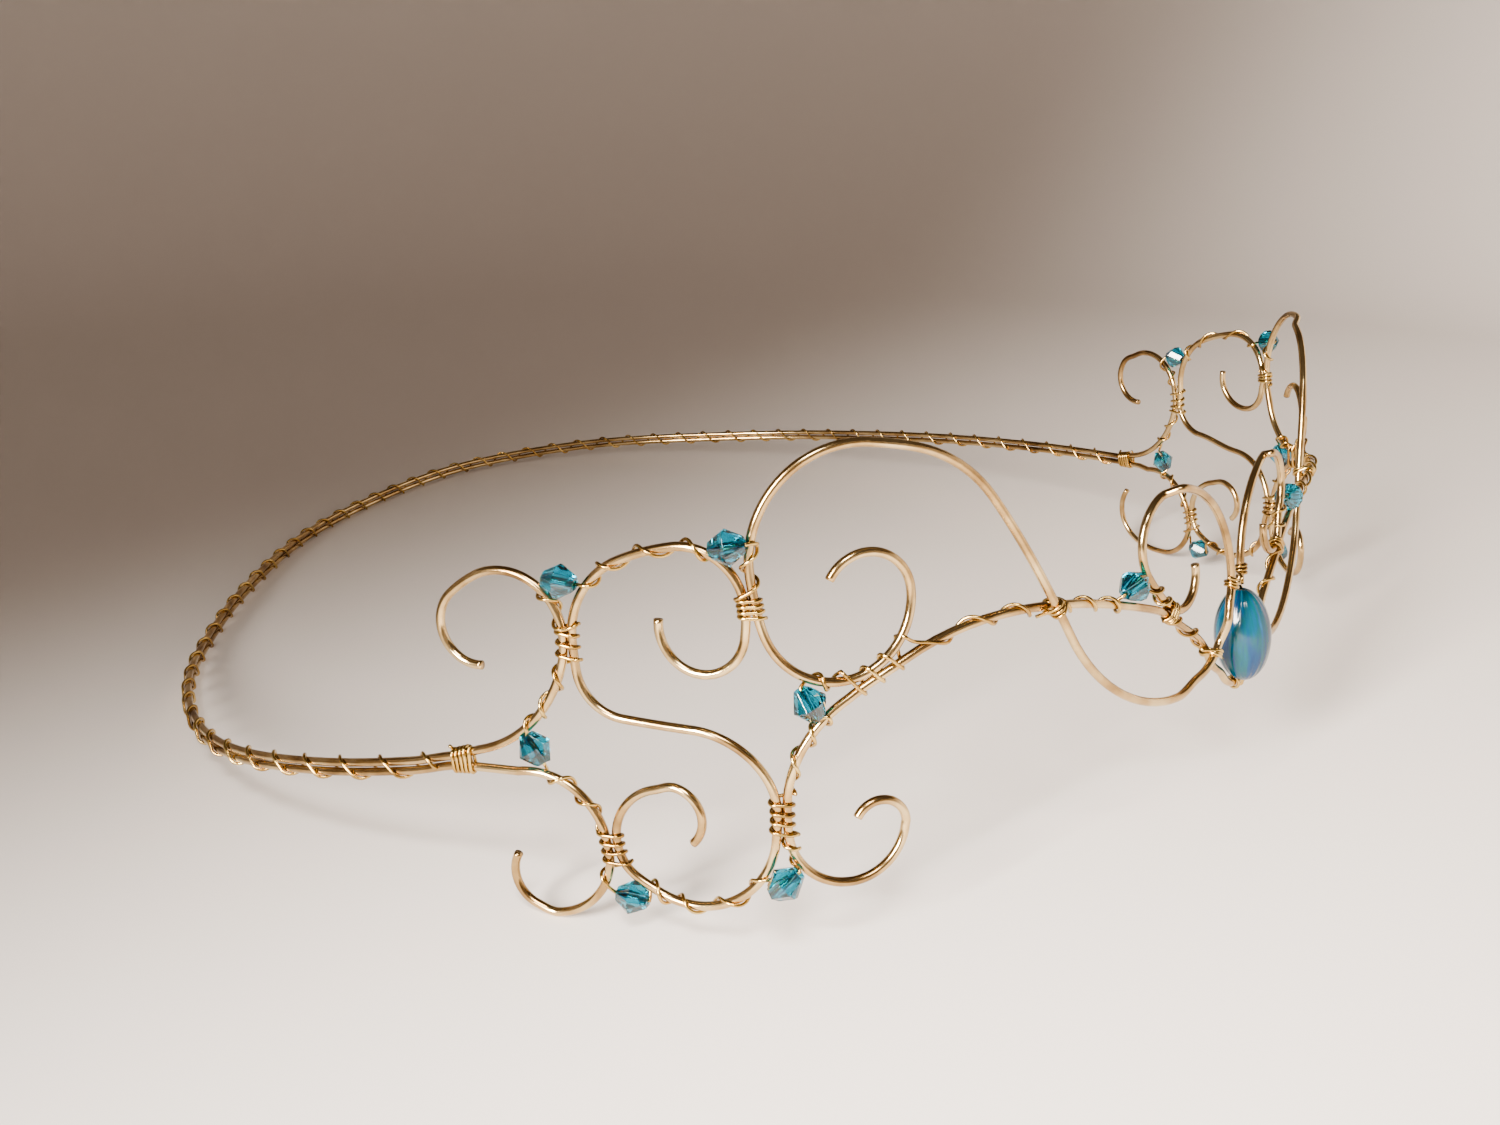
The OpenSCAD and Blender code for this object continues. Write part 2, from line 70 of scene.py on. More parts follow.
# The back stands this far to the left, and the sides before it go a little to the right first
BACK_SKEW = 18
BACK_SKEW_RETURN = 0.55
# Points of the outline from one station to the next
SPAN_PARTS = 12

# Height of the band's middle. Columns: distance from the brow's centre, height
BAND_SAG = [
    (105, 0), (112, -1.2), (125, -3), (150, -6), (175, -6.6), (198, -6.3),
    (215, -5), (235, -4), (255, -3), (280, -2), (305, -1), (345, -0.6), (400, -0.6), (470, 0),
]
# Distances from the brow's centre at which the two band wires leave their hooks
UPPER_LEAVE = 106.6
LOWER_LEAVE = 101.6

# Pegs that the wires are bent around, for each half, since the halves were bent by hand and
# differ a little. Columns: distance along the wall, height, bend radius at the start and the
# end, angle at the start and the end (0 away from the brow, 90 upwards), distance in front
RIGHT, LEFT = 1, -1
UPPER_HOOK = {
    RIGHT: [
        (107.4, 15.2, 14.4, 15.9, 252, 190, 0),
        (98.3, 14.8, 6.8, 6.9, 174, 65, 0),
        (101.6, 15.4, 4.6, 4.2, 50, -92, 0),
    ],
    LEFT: [
        (106.9, 15.1, 14.4, 15.5, 252, 190, 0),
        (98.8, 14.4, 7.1, 7.0, 174, 66, 0),
        (101.5, 16.0, 4.7, 4.1, 50, -92, 0),
    ],
}
LOWER_HOOK = {
    RIGHT: [
        (97.0, -9.0, 8.5, 8.3, 80, 174, 0),
        (96.1, -9.2, 7.6, 7.8, 192, 265, 0),
        (96.2, -12.7, 3.9, 4.1, 295, 395, 0),
    ],
    LEFT: [
        (98.0, -9.2, 8.4, 9.0, 80, 174, 0),
        (97.0, -8.9, 8.2, 7.8, 190, 264, 0),
        (100.6, -10.1, 6.2, 6.2, 292, 400, 0),
    ],
}
SCROLL = {
    RIGHT: [
        (75.9, 16.2, 4.8, 4.6, 10, -170, 0),
        (77.6, 18.0, 6.5, 6.6, 176, 82, 0),
        (81.2, 14.4, 9.2, 9.3, 68, 2, 0),
        (84.8, 11.5, 5.6, 5.5, -3, -83, 0),
        (78.2, -3.4, 8.9, 8.8, 93, 172, 0),
        (78.9, -4.9, 9.2, 9.3, 188, 298, 0),
        (81.8, -8.0, 5.6, 6.5, 340, 440, 0),
        (80.9, -4.5, 3.5, 3.4, 458, 588, 0),
    ],
    LEFT: [
        (75.5, 18.6, 4.8, 4.8, 14, -170, 0),
        (77.3, 19.0, 7.0, 7.4, 176, 83, 0),
        (81.1, 15.6, 9.8, 9.1, 66, 1, 0),
        (84.9, 12.9, 5.6, 5.1, -4, -83, 0),
        (78.1, -3.1, 9.1, 8.8, 94, 172, 0),
        (79.4, -4.2, 8.9, 9.3, 188, 298, 0),
        (82.1, -7.6, 5.7, 7.0, 340, 440, 0),
        (81.0, -3.9, 3.8, 3.5, 458, 588, 0),
    ],
}
BROW = {
    RIGHT: [
        (58.9, -6.3, 2.8, 2.8, 30, 180, 0),
        (62.3, -5.6, 6.2, 6.2, 190, 350, 0),
        (54.8, -2.6, 13.6, 12.4, 4, 58, 0),
        (43.5, -15, 28.3, 28.3, 66, 90, 0),
        (23.9, -3.5, 12.1, 12, 111, 128, 0),
        (18, -7.7, 12, 12, 137, 153, 0),
        (0, -2.5, 4.8, 4.8, -35, -90, 0),
    ],
    LEFT: [
        (58.9, -6.3, 2.8, 2.8, 30, 180, 0),
        (62.3, -5.6, 6.2, 6.2, 190, 350, 0),
        (54.8, -3.6, 13.6, 12.2, 4, 58, 0),
        (43.5, -17.4, 28.3, 28.3, 66, 90, 0),
        (23.9, -4.0, 12.1, 12, 111, 128, 0),
        (18, -7.9, 12, 12, 137, 153, 0),
        (0, -2.5, 4.8, 4.8, -35, -90, 0),
    ],
}
CREST = {
    RIGHT: [
        (58.3, 17.9, 4.7, 4.6, 31, 178, 0),
        (61.8, 17.9, 8.1, 8.0, 190, 345, 0),
        (59.3, 22.0, 11.1, 11.5, -6, 100, 0),
        (57.2, 17.1, 15.9, 15.9, 108, 146, 0.6),
        (15.8, 18.5, 21.6, 21.6, -25, -84, 1.3),
        (12.7, 6.2, 8.5, 8.2, -92, -130, 1.1),
        (14.4, 5.9, 8.1, 8.1, -163, -172, 2.2),
        (18.4, 7.4, 13.7, 14.2, 179, 100, 1.8),
        (16.2, 15.2, 5.5, 5.6, 80, -36, 0),
        (14.0, 9.9, 3.6, 3.7, -55, -194, 0),
    ],
    LEFT: [
        (58.4, 15.8, 4.3, 4.4, 29, 178, 0),
        (60.9, 17.3, 8.1, 7.7, 190, 345, 0),
        (58.3, 20.2, 11.0, 11.1, -6, 100, 0),
        (57.8, 15.4, 15.3, 15.6, 106, 147, -0.9),
        (17.4, 15.0, 21.8, 22.0, -28, -84, -1.5),
        (12.6, 3.0, 8.9, 8.7, -92, -128, -1.2),
        (12.8, 4.4, 8.4, 8.5, -160, -171, -1.4),
        (18.4, 6.4, 13.4, 12.6, 184, 106, -1.0),
        (14.6, 14.2, 4.6, 4.7, 88, -38, 0),
        (14.3, 9.5, 3.5, 3.5, -55, -194, 0),
    ],
}

# Faceted beads. Columns: distance along the wall, height, distance in front, angle of the hole
BEADS = {
    "temple": {RIGHT: (91.2, 20.7, 0.3, 8), LEFT: (91.6, 21.2, 0.3, 8)},
    "fork": {RIGHT: (96.2, 2.1, 0, 60), LEFT: (95.4, 1.4, 0, 60)},
    "hook": {RIGHT: (86.3, -14.2, 0, 8), LEFT: (86.6, -14.0, 0, 8)},
    "curl": {RIGHT: (69.2, -10.3, 1.5, 140), LEFT: (69.2, -10.3, 1.5, 140)},
    "crest": {RIGHT: (72.3, 24.8, 1.2, -8), LEFT: (71.0, 25.5, 1.5, -8)},
    "brow": {RIGHT: (65.4, 8.1, 0.3, 65), LEFT: (65.3, 7.4, 0.3, 65)},
    "front": {RIGHT: (23.4, 11.6, 0, 165), LEFT: (23.4, 10.9, 0, 165)},
}
# Coils of thin wire. Columns: distance along the wall, height, distance in front, direction of
# the coil's axis, half the distance between the held wires across the axis and through the
# wall, turns, pitch
COILS = {
    "band_binding": {
        RIGHT: (105.2, 0.1, 0, -6, 0.96, 0.06, 5, 0.55),
        LEFT: (105.2, 0.1, 0, -6, 1.02, 0.1, 5, 0.55),
    },
    "temple_binding": {
        RIGHT: (91.03, 14.3, 0, 90, 0.66, 0, 3, 1.3),
        LEFT: (91.05, 13.2, 0, 90, 0.72, 0, 3, 1.3),
    },
    "hook_binding": {
        RIGHT: (88.08, -8.6, 0, 82, 0.76, 0, 3.5, 1.1),
        LEFT: (88.55, -8.1, 0, 84, 0.8, 0, 3.5, 1.1),
    },
    "curl_binding": {
        RIGHT: (68.95, -3.5, 0, 90, 0.7, 0, 4, 1.1),
        LEFT: (68.87, -2.2, 0, 96, 0.92, 0, 4, 1.1),
    },
    "crest_binding": {
        RIGHT: (70.55, 18.3, 0, 87, 0.74, 0, 3.5, 0.6),
        LEFT: (69.83, 19.7, 0, 89, 0.74, 0, 3.5, 0.6),
    },
    "brow_lashing": {
        RIGHT: (57.85, 10.4, 0, -21, 1.25, 0.05, 3, -2.4),
        LEFT: (57.9, 9.05, 0, -18, 1.42, 0.05, 3, -2.4),
    },
    "crossing_knot": {
        RIGHT: (37.2, 12.55, 0.56, 36, 0.62, 0.72, 2.5, 0.6),
        LEFT: (39.0, 10.65, -0.67, 37, 0.7, 0.8, 2.5, 0.6),
    },
    "dip_knot": {
        RIGHT: (8.2, -0.75, 0.56, 100, 0.84, 0.7, 2.5, 0.6),
        LEFT: (6.7, -2.9, -0.6, 81, 0.8, 0.74, 2.5, 0.6),
    },
    "loop_knot": {
        RIGHT: (16.7, 6.7, 0, 37, 0.7, 0, 2.5, 0.6),
        LEFT: (16.4, 6.0, 0, 38, 0.8, 0, 2.5, 0.6),
    },
    "bead_tie": {
        RIGHT: (4.9, 7.2, 1.9, 108, 0.08, 0.12, 2.5, 0.5),
        LEFT: (5.15, 5.9, -1.1, 76, 0.08, 0.12, 2.5, 0.5),
    },
}
# Height of the long bead's middle, and its distance in front of the wall
CENTRE_BEAD_UP = -0.95
CENTRE_BEAD_OUT = 1.0
SIDES = {"right": RIGHT, "left": LEFT}

# Degrees of a bend and millimetres of a straight run between two points of a wire, and the
# points around the band. The coarse values settle how the crown rests, the fine ones are seen
REST_STEP = 18
FINE_STEP = 4
REST_RUN = 20
FINE_RUN = 0.8
REST_RINGS = 48
FINE_RINGS = 360


def hermite(p, m, q, n, t):
    """A point of the curve that leaves p with the slope m and reaches q with the slope n."""
    return (
        (2 * t**3 - 3 * t**2 + 1) * p + (t**3 - 2 * t**2 + t) * m
        + (3 * t**2 - 2 * t**3) * q + (t**3 - t**2) * n
    )


def span_point(a, b, c, d, t):
    """A point between stations b and c of a curve that also passes a and d."""
    before, here, after = (b - a).length, (c - b).length, (d - c).length
    leave = ((b - a) / before * here + (c - b) / here * before) / (before + here) * here
    reach = ((c - b) / here * after + (d - c) / after * here) / (here + after) * here
    return hermite(b, leave, c, reach, t)


def head_outline():
    """The closed outline of the wall, from the brow's centre round the right side."""
    right = [Vector((-x, y)) for x, y in HEAD_OUTLINE]
    left = [Vector((x, y)) for x, y in HEAD_OUTLINE]
    left[BROW_CORNER].y -= LEFT_BROW_FORWARD
    left = left[-2:0:-1]
    stations = right + left
    count = len(stations)
    points = []
    for i in range(count):
        around = [stations[(i + k) % count] for k in (-1, 0, 1, 2)]
        for k in range(SPAN_PARTS):
            p = span_point(*around, k / SPAN_PARTS)
            w = max(p.y, 0) / BACK_DEPTH
            p.x += BACK_SKEW * ((1 + BACK_SKEW_RETURN) * w**2 - BACK_SKEW_RETURN * w)
            points.append(p)
    return points + [points[0]]


outline = np.array([tuple(p) for p in head_outline()])
outline_run = np.concatenate([[0], np.cumsum(np.linalg.norm(np.diff(outline, axis=0), axis=1))])
loop_l = outline_run[-1]
chords = np.vstack([outline[1:-1], outline[1]]) - np.vstack([outline[-2], outline[:-2]])
chords = np.vstack([chords, chords[0]])
headings = chords / np.linalg.norm(chords, axis=1)[:, None]


def wall_out(along):
    """The outward direction of the wall at a distance from the brow's centre."""
    s = along % loop_l
    h = Vector([np.interp(s, outline_run, headings[:, k]) for k in (0, 1)]).normalized()
    return Vector((-h.y, h.x, 0))


def wall_point(along, up, out):
    """A place on the wall before the crown is laid down to rest."""
    s = along % loop_l
    foot = Vector([np.interp(s, outline_run, outline[:, k]) for k in (0, 1)] + [up])
    return foot + wall_out(s) * (out - up * math.tan(LEAN))


def peg_point(peg, t):
    """The wire's place at a share of its way around a peg."""
    a = math.radians(peg[4] + (peg[5] - peg[4]) * t)
    r = peg[2] + (peg[3] - peg[2]) * t
    return Vector((peg[0] + r * math.cos(a), peg[1] + r * math.sin(a), peg[6]))


def peg_heading(peg, degrees):
    """The wire's direction at an angle around a peg."""
    a = math.radians(degrees)
    return Vector((-math.sin(a), math.cos(a), 0)) * (1 if peg[5] > peg[4] else -1)


def bridge(peg, following, step, run):
    """The easy curve of the wire from one peg to the next."""
    p, q = peg_point(peg, 1), peg_point(following, 0)
    d = (q - p).xy.length
    h, g = peg_heading(peg, peg[5]), peg_heading(following, following[4])
    turn = math.degrees(math.acos(min(1, h.dot(g))))
    count = math.ceil(max(turn / step, d / run))
    points = []
    for i in range(1, count):
        t = i / count
        v = hermite(p * Vector((1, 1, 0)), h * d, q * Vector((1, 1, 0)), g * d, t)
        points.append(Vector((v.x, v.y, p.z + (q.z - p.z) * (3 * t * t - 2 * t**3))))
    return points


def route(table, side, step=FINE_STEP, run=FINE_RUN):
    """A wire's run in wall coordinates: distance along, height, distance in front."""
    pegs = table[side]
    points = []
    for i, peg in enumerate(pegs):
        if i:
            points += bridge(pegs[i - 1], peg, step, run)
        count = max(2, math.ceil(abs(peg[5] - peg[4]) / step))
        points += [peg_point(peg, k / count) for k in range(count + 1)]
    return [(side * p.x, p.y, p.z) for p in points]


def sag(s):
    """Height of the band's middle at a distance from the brow's centre."""
    rows = BAND_SAG
    i = max(k for k in range(len(rows) - 1) if rows[k][0] <= s or k == 0)
    (a, low), (b, high) = rows[i], rows[i + 1]
    t = min(1, max(0, (s - a) / (b - a)))
    return hermite(low, sag_slope(i) * (b - a), high, sag_slope(i + 1) * (b - a), t)


def sag_slope(i):
    """Slope of the band's middle at one of its stations."""
    if i in (0, len(BAND_SAG) - 1):
        return 0
    (a, low), (b, high) = BAND_SAG[i - 1], BAND_SAG[i + 1]
    return (high - low) / (b - a)


def band_run(first, offset, rings):
    """The run around the back from one side to the other, at a height over the band's middle."""
    runs = [first + (loop_l - 2 * first) * i / rings for i in range(rings + 1)]
    return [(s, sag(s) + offset, 0) for s in runs]


def band_wire(hook, leave, offset, rings, step, run):
    """A band wire's run from its right hook around the back to its left hook."""
    return (
        route(hook, RIGHT, step, run)[::-1] + band_run(leave, offset, rings)
        + route(hook, LEFT, step, run)
    )


def resting_place():
    """Pitch and shift with which the crown stands on its lower hooks and its band's back."""
    half = STRAND_GAP / 2
    upper = band_wire(UPPER_HOOK, UPPER_LEAVE, half, REST_RINGS, REST_STEP, REST_RUN)
    lower = band_wire(LOWER_HOOK, LOWER_LEAVE, -half, REST_RINGS, REST_STEP, REST_RUN)
    hook = wall_point(*min(route(LOWER_HOOK, RIGHT, REST_STEP, REST_RUN), key=lambda w: w[1]))
    back = wall_point(loop_l / 2, sag(loop_l / 2) - half, 0)
    run, rise = back.y - hook.y, back.z - hook.z
    # The turns of thin wire under the band's back hold it up by their thickness
    pitch = math.atan2(rise, run) - math.asin(THIN_D / math.hypot(run, rise))
    turn = Matrix.Rotation(-pitch, 3, "X")
    points = [turn @ wall_point(*w) for w in upper + lower]
    low = Vector([min(p[k] for p in points) - WIRE_D / 2 for k in range(3)])
    high = Vector([max(p[k] for p in points) + WIRE_D / 2 for k in range(3)])
    bead = turn @ wall_point(0, CENTRE_BEAD_UP, CENTRE_BEAD_OUT)
    tilt = LEAN + pitch
    reach = math.hypot(CENTRE_BEAD_D / 2 * math.cos(tilt), CENTRE_BEAD_L / 2 * math.sin(tilt))
    shift = -Vector(((low.x + high.x) / 2, (bead.y - reach + high.y) / 2, low.z))
    return turn, shift


rest_turn, rest_shift = resting_place()


def space(along, up, out=0):
    """A point of the wall as the crown rests, in millimetres."""
    return rest_turn @ wall_point(along, up, out) + rest_shift


def space_out(along):
    """The outward direction of the wall as the crown rests."""
    return rest_turn @ wall_out(along)


class Line:
    """The middle line of a wire, with the outward direction of the wall beside it."""

    def __init__(self, run):
        self.points = [space(*w) for w in run]
        self.outs = [space_out(w[0]) for w in run]
        steps = [(b - a).length for a, b in zip(self.points, self.points[1:])]
        self.run = np.concatenate([[0], np.cumsum(steps)])

    def near(self, spot):
        """Distance along the line of its point that lies nearest to a spot in space."""
        return self.run[min(range(len(self.points)), key=lambda i: (self.points[i] - spot).length)]

    def at(self, s):
        """The point at a distance along the line, its direction and the outward direction."""
        i = int(np.clip(np.searchsorted(self.run, s) - 1, 0, len(self.points) - 2))
        t = (s - self.run[i]) / (self.run[i + 1] - self.run[i])
        lead = (self.points[i + 1] - self.points[i]).normalized()
        out = self.outs[i].lerp(self.outs[i + 1], t)
        return self.points[i].lerp(self.points[i + 1], t), lead, (out - out.dot(lead) * lead).normalized()


def brow_run():
    """The brow wire's run from its right curl over the middle to its left curl."""
    right, left = route(BROW, RIGHT), route(BROW, LEFT)
    return right + left[-2::-1]


frame_lines = {
    "upper_band_wire": Line(
        band_wire(UPPER_HOOK, UPPER_LEAVE, STRAND_GAP / 2, FINE_RINGS, FINE_STEP, FINE_RUN)
    ),
    "lower_band_wire": Line(
        band_wire(LOWER_HOOK, LOWER_LEAVE, -STRAND_GAP / 2, FINE_RINGS, FINE_STEP, FINE_RUN)
    ),
    "brow_wire": Line(brow_run()),
}
for side_name, side in SIDES.items():
    frame_lines[side_name + "_scroll_wire"] = Line(route(SCROLL, side))
    frame_lines[side_name + "_crest_wire"] = Line(route(CREST, side))


# Materials


def hex_colour(code):
    """An sRGB hex value as the linear colour that the shaders take."""
    parts = [int(code[i:i + 2], 16) / 255 for i in (1, 3, 5)]
    return [c / 12.92 if c <= 0.04045 else ((c + 0.055) / 1.055) ** 2.4 for c in parts] + [1]


def add(tree, kind, values=None, links=None, **settings):
    """Adds a node with its settings, the values of its sockets and the links into them."""
    node = tree.nodes.new(kind)
    for name, value in settings.items():
        setattr(node, name, value)
    for socket, value in (values or {}).items():
        node.inputs[socket].default_value = value
    for socket, source in (links or {}).items():
        tree.links.new(source, node.inputs[socket])
    return node


def new_material(name):
    """A material with an empty node tree."""
    material = bpy.data.materials.new(name)
    material.use_nodes = True
    tree = material.node_tree
    tree.nodes.clear()
    return material, tree


def shaded(tree, values, links):
    """Ends a material with its shader."""
    shader = add(tree, "ShaderNodeBsdfPrincipled", values, links)
    add(tree, "ShaderNodeOutputMaterial", links={"Surface": shader.outputs[0]})


def ramp(tree, source, stops):
    """Colours between the stops, which are a value of the source and a hex colour each."""
    node = add(tree, "ShaderNodeValToRGB", links={"Fac": source})
    while len(node.color_ramp.elements) < len(stops):
        node.color_ramp.elements.new(0.5)
    for element, (place, code) in zip(node.color_ramp.elements, stops):
        element.position = place
        element.color = hex_colour(code)
    return node.outputs["Color"]


def brass_wire(name, pale, warm, tarnish, draw_mark, shine):
    """Drawn brass wire: the die leaves fine lines along it and the hand dulls it in patches.

    Reads the piece's UV map, which is in millimetres along and around the wire.
    """
    material, tree = new_material(name)
    uv = add(tree, "ShaderNodeTexCoord").outputs["UV"]
    # Draw marks are a few hundredths of a millimetre wide and are drawn wider, so that they show.
    # A mark is 25 times as long as it is wide
    mark_l = 25 * draw_mark
    lines = add(
        tree, "ShaderNodeMapping", {"Scale": (1 / mark_l, 1 / draw_mark, 1)}, {"Vector": uv}
    ).outputs[0]
    marks = add(tree, "ShaderNodeTexNoise", {"Scale": 1, "Detail": 3, "Roughness": 0.6}, {"Vector": lines})
    place = add(tree, "ShaderNodeTexCoord").outputs["Object"]
    # Patches where fingers dulled the wire are about 5 mm long
    patch_l = 5 * MM
    patches = add(tree, "ShaderNodeTexNoise", {"Scale": 1 / patch_l, "Detail": 4}, {"Vector": place})
    colour = ramp(tree, patches.outputs["Fac"], [(0.3, tarnish), (0.46, warm), (0.62, pale)])
    # Where it is dull the wire is rougher by this much
    dulling = 0.1
    rough = add(
        tree, "ShaderNodeMapRange",
        {"From Min": 0.3, "From Max": 0.7, "To Min": shine + dulling, "To Max": shine},
        {"Value": patches.outputs["Fac"]},
    )
    mark_depth = 0.02 * MM
    bump = add(
        tree, "ShaderNodeBump", {"Strength": 0.12, "Distance": mark_depth},
        {"Height": marks.outputs["Fac"]},
    )
    shaded(
        tree, {"Metallic": 1.0},
        {"Base Color": colour, "Roughness": rough.outputs[0], "Normal": bump.outputs[0]},
    )
    return material


def cut_end_brass():
    """Sheared brass: side cutters leave a dull, greyish wedge with fine ridges."""
    material, tree = new_material("sheared_brass")
    place = add(tree, "ShaderNodeTexCoord").outputs["Object"]
    ridge_spacing, ridge_depth = 0.1 * MM, 0.03 * MM
    ridges = add(tree, "ShaderNodeTexNoise", {"Scale": 1 / ridge_spacing, "Detail": 2}, {"Vector": place})
    colour = ramp(tree, ridges.outputs["Fac"], [(0.35, "#4F4338"), (0.65, "#A08D78")])
    bump = add(
        tree, "ShaderNodeBump", {"Strength": 0.5, "Distance": ridge_depth},
        {"Height": ridges.outputs["Fac"]},
    )
    shaded(tree, {"Metallic": 1.0, "Roughness": 0.42}, {"Base Color": colour, "Normal": bump.outputs[0]})
    return material


def cut_glass():
    """Cut lead glass, teal in the mass: clear, with hard glints on its polished facets."""
    material, tree = new_material("cut_teal_glass")
    place = add(tree, "ShaderNodeTexCoord").outputs["Object"]
    # The melt's tint drifts over about 2 mm, and polish leaves faint waves 1 mm apart
    tint_drift, wave_spacing, wave_depth = 2 * MM, 1 * MM, 0.02 * MM
    tint = add(tree, "ShaderNodeTexNoise", {"Scale": 1 / tint_drift, "Detail": 1}, {"Vector": place})
    colour = ramp(tree, tint.outputs["Fac"], [(0.35, "#00789A"), (0.65, "#009EBA")])
    polish = add(tree, "ShaderNodeTexNoise", {"Scale": 1 / wave_spacing, "Detail": 1}, {"Vector": place})
    bump = add(
        tree, "ShaderNodeBump", {"Strength": 0.05, "Distance": wave_depth},
        {"Height": polish.outputs["Fac"]},
    )
    shaded(
        tree, {"Roughness": 0.015, "IOR": 1.6, "Transmission Weight": 1.0},
        {"Base Color": colour, "Normal": bump.outputs[0]},
    )
    return material


def lustre_glass():
    """Pressed glass with a lustre coat: teal and blue streaks run from hole to hole."""
    material, tree = new_material("pressed_lustre_glass")
    uv = add(tree, "ShaderNodeTexCoord").outputs["UV"]
    # UV is in turns around the bead and in half lengths from its middle. The streaks are about
    # 1.5 mm wide, which makes 14 of them around, and as long as the bead
    streaks_around, streaks_along = 14, 0.5
    streaks = add(
        tree, "ShaderNodeMapping", {"Scale": (streaks_around, streaks_along, 1)}, {"Vector": uv}
    ).outputs[0]
    swirl = add(
        tree, "ShaderNodeTexNoise", {"Scale": 1, "Detail": 4, "Roughness": 0.55, "Distortion": 0.5},
        {"Vector": streaks},
    )
    colour = ramp(
        tree, swirl.outputs["Fac"],
        [(0.3, "#001838"), (0.43, "#002E52"), (0.52, "#003E44"), (0.6, "#003C62"), (0.72, "#00627A")],
    )
    streak_depth = 0.08 * MM
    bump = add(
        tree, "ShaderNodeBump", {"Strength": 0.25, "Distance": streak_depth},
        {"Height": swirl.outputs["Fac"]},
    )
    shaded(
        tree,
        {
            "Roughness": 0.16, "IOR": 1.55,
            "Specular IOR Level": 0.2, "Coat Weight": 0.3, "Coat Roughness": 0.04,
        },
        {"Base Color": colour, "Normal": bump.outputs[0]},
    )
    return material


def paper():
    """Matt card: a pale, plain ground with a faint tooth."""
    material, tree = new_material("matt_card")
    place = add(tree, "ShaderNodeTexCoord").outputs["Object"]
    tooth_spacing, tooth_depth = 1.5 * MM, 0.1 * MM
    tooth = add(tree, "ShaderNodeTexNoise", {"Scale": 1 / tooth_spacing, "Detail": 3}, {"Vector": place})
    bump = add(
        tree, "ShaderNodeBump", {"Strength": 0.08, "Distance": tooth_depth},
        {"Height": tooth.outputs["Fac"]},
    )
    shaded(
        tree, {"Base Color": hex_colour("#E4DDD8"), "Roughness": 0.8, "Specular IOR Level": 0.2},
        {"Normal": bump.outputs[0]},
    )
    return material


frame_brass = brass_wire(
    "drawn_champagne_brass", "#D2B884", "#B2925E", "#7E6038", draw_mark=0.12, shine=0.1
)
thin_brass = brass_wire("drawn_thin_brass", "#D2B46C", "#B6924C", "#84622E", draw_mark=0.08, shine=0.12)
sheared_brass = cut_end_brass()
teal_glass = cut_glass()
lustre = lustre_glass()


# Pieces


def settle(piece, slot, *nodes):
    """Every piece rides on the crown's one body and hides the parts that it takes the place of, if any."""
    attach(piece, "root")
    if nodes:
        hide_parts(*nodes)


def piece_from(bm, name, materials):
    """An object at the origin with the shape that was modelled."""
    mesh = bpy.data.meshes.new(name)
    bm.to_mesh(mesh)
    bm.free()
    for material in materials:
        mesh.materials.append(material)
    piece = bpy.data.objects.new(name, mesh)
    bpy.context.scene.collection.objects.link(piece)
    return piece


# Points of a mesh that are nearer than this are one point
MERGE = 0.002 * MM
FRAME_SIDES = 16
THIN_SIDES = 8
# A wedge at a cut end, as a share of the wire's diameter, and how far the cutters closed it
FRAME_WEDGE = 0.16
THIN_WEDGE = 0.3
PINCH = 0.75


def swept_mesh(points, diameter, sides):
    """A round wire along its middle line, with flat ends and a UV map of its length and girth."""
    curve = bpy.data.curves.new("sweep", "CURVE")
    curve.dimensions = "3D"
    curve.twist_mode = "MINIMUM"
    curve.bevel_depth = diameter / 2 * MM
    curve.bevel_resolution = sides // 2 - 2
    curve.use_fill_caps = True
    spline = curve.splines.new("POLY")
    spline.points.add(len(points) - 1)
    for spot, p in zip(spline.points, points):
        spot.co = (p.x * MM, p.y * MM, p.z * MM, 1)
    holder = bpy.data.objects.new("sweep", curve)
    bpy.context.scene.collection.objects.link(holder)
    bpy.context.view_layer.update()
    mesh = bpy.data.meshes.new_from_object(holder.evaluated_get(bpy.context.evaluated_depsgraph_get()))
    bpy.data.objects.remove(holder)
    bpy.data.curves.remove(curve)
    return mesh


def wire_piece(name, points, diameter, sides, material, wedge):
    """A drawn wire whose ends the cutters pinched into wedges, with a UV map in millimetres."""
    mesh = swept_mesh(points, diameter, sides)
    bm = bmesh.new()
    bm.from_mesh(mesh)
    bpy.data.meshes.remove(mesh)
    bmesh.ops.remove_doubles(bm, verts=bm.verts, dist=MERGE)
    length = sum((b - a).length for a, b in zip(points, points[1:]))
    for layer in list(bm.loops.layers.uv.values()):
        for face in bm.faces:
            for loop in face.loops:
                u, v = loop[layer].uv
                loop[layer].uv = (u * length, v * math.pi * diameter)
    for face in bm.faces:
        face.smooth = len(face.verts) <= 4
    caps = [face for face in bm.faces if len(face.verts) > 4]
    for cap in caps:
        cap.material_index = 1
        grown = bmesh.ops.extrude_face_region(bm, geom=[cap])["geom"]
        rim = [v for v in grown if isinstance(v, bmesh.types.BMVert)]
        middle = sum((v.co for v in rim), Vector()) / len(rim)
        pinch = (rim[0].co - middle).normalized()
        for v in rim:
            v.co += cap.normal * wedge * diameter * MM
            v.co -= pinch * (v.co - middle).dot(pinch) * PINCH
        bmesh.ops.delete(bm, geom=[cap], context="FACES_ONLY")
    bmesh.ops.recalc_face_normals(bm, faces=bm.faces)
    return piece_from(bm, name, [material, sheared_brass])


for node_name, line in frame_lines.items():
    name = node_name.replace("_wire", "_drawn_wire")
    piece = wire_piece(name, line.points, WIRE_D, FRAME_SIDES, frame_brass, FRAME_WEDGE)
    settle(piece, "frame_wire", node_name)


# The thin wire

# Distance between the middles of a frame wire and a thin wire that lies on it, and the same
# with a hair's width of air, which keeps the two from cutting each other
WRAP_R = WIRE_D / 2 + THIN_D / 2
HAIR_GAP = 0.01
TOUCH = WRAP_R + HAIR_GAP
